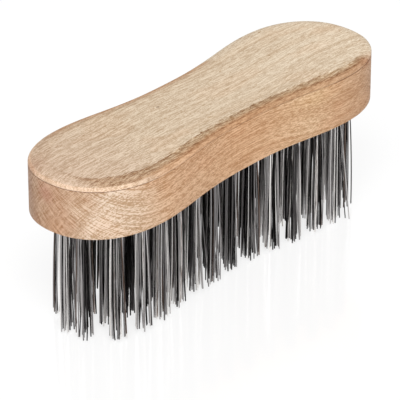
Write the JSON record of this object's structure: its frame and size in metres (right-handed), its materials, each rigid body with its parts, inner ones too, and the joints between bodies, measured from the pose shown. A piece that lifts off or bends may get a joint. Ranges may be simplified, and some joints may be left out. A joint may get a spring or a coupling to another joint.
{
  "type": "wire brush",
  "caption": "Waisted wooden block brush with a glued cover board and rows of long steel wire tufts drawn into the block, for cleaning and derusting metal.",
  "frame": {"origin": "centre of the bounding box's bottom, on the surface that the wires' tips stand on", "axes": "+X along the block's length, +Y across the block, +Z from the wire tips up to the cover board"},
  "size_m": [0.2, 0.062, 0.0829],
  "materials": {
    "beech_block": "unvarnished beech, fine sanded",
    "beech_cover": "unvarnished beech, fine sanded",
    "draw_wire_steel": "soft annealed wire",
    "bristle_steel": "drawn spring steel wire"
  },
  "bodies": {
    "root": {"block_body": "beech_block", "cover_board": "beech_cover", "draw_wire_row_1": "draw_wire_steel", "draw_wire_row_2": "draw_wire_steel", "draw_wire_row_3": "draw_wire_steel", "draw_wire_row_4": "draw_wire_steel", "tuft_row_1_01": "bristle_steel", "tuft_row_1_02": "bristle_steel", "tuft_row_1_03": "bristle_steel", "tuft_row_1_04": "bristle_steel", "tuft_row_1_05": "bristle_steel", "tuft_row_1_06": "bristle_steel", "tuft_row_1_07": "bristle_steel", "tuft_row_1_08": "bristle_steel", "tuft_row_1_09": "bristle_steel", "tuft_row_1_10": "bristle_steel", "tuft_row_1_11": "bristle_steel", "tuft_row_1_12": "bristle_steel", "tuft_row_1_13": "bristle_steel", "tuft_row_2_01": "bristle_steel", "tuft_row_2_02": "bristle_steel", "tuft_row_2_03": "bristle_steel", "tuft_row_2_04": "bristle_steel", "tuft_row_2_05": "bristle_steel", "tuft_row_2_06": "bristle_steel", "tuft_row_2_07": "bristle_steel", "tuft_row_2_08": "bristle_steel", "tuft_row_2_09": "bristle_steel", "tuft_row_2_10": "bristle_steel", "tuft_row_2_11": "bristle_steel", "tuft_row_2_12": "bristle_steel", "tuft_row_2_13": "bristle_steel", "tuft_row_2_14": "bristle_steel", "tuft_row_3_01": "bristle_steel", "tuft_row_3_02": "bristle_steel", "tuft_row_3_03": "bristle_steel", "tuft_row_3_04": "bristle_steel", "tuft_row_3_05": "bristle_steel", "tuft_row_3_06": "bristle_steel", "tuft_row_3_07": "bristle_steel", "tuft_row_3_08": "bristle_steel", "tuft_row_3_09": "bristle_steel", "tuft_row_3_10": "bristle_steel", "tuft_row_3_11": "bristle_steel", "tuft_row_3_12": "bristle_steel", "tuft_row_3_13": "bristle_steel", "tuft_row_3_14": "bristle_steel", "tuft_row_4_01": "bristle_steel", "tuft_row_4_02": "bristle_steel", "tuft_row_4_03": "bristle_steel", "tuft_row_4_04": "bristle_steel", "tuft_row_4_05": "bristle_steel", "tuft_row_4_06": "bristle_steel", "tuft_row_4_07": "bristle_steel", "tuft_row_4_08": "bristle_steel", "tuft_row_4_09": "bristle_steel", "tuft_row_4_10": "bristle_steel", "tuft_row_4_11": "bristle_steel", "tuft_row_4_12": "bristle_steel", "tuft_row_4_13": "bristle_steel"}
  },
  "joints": []
}
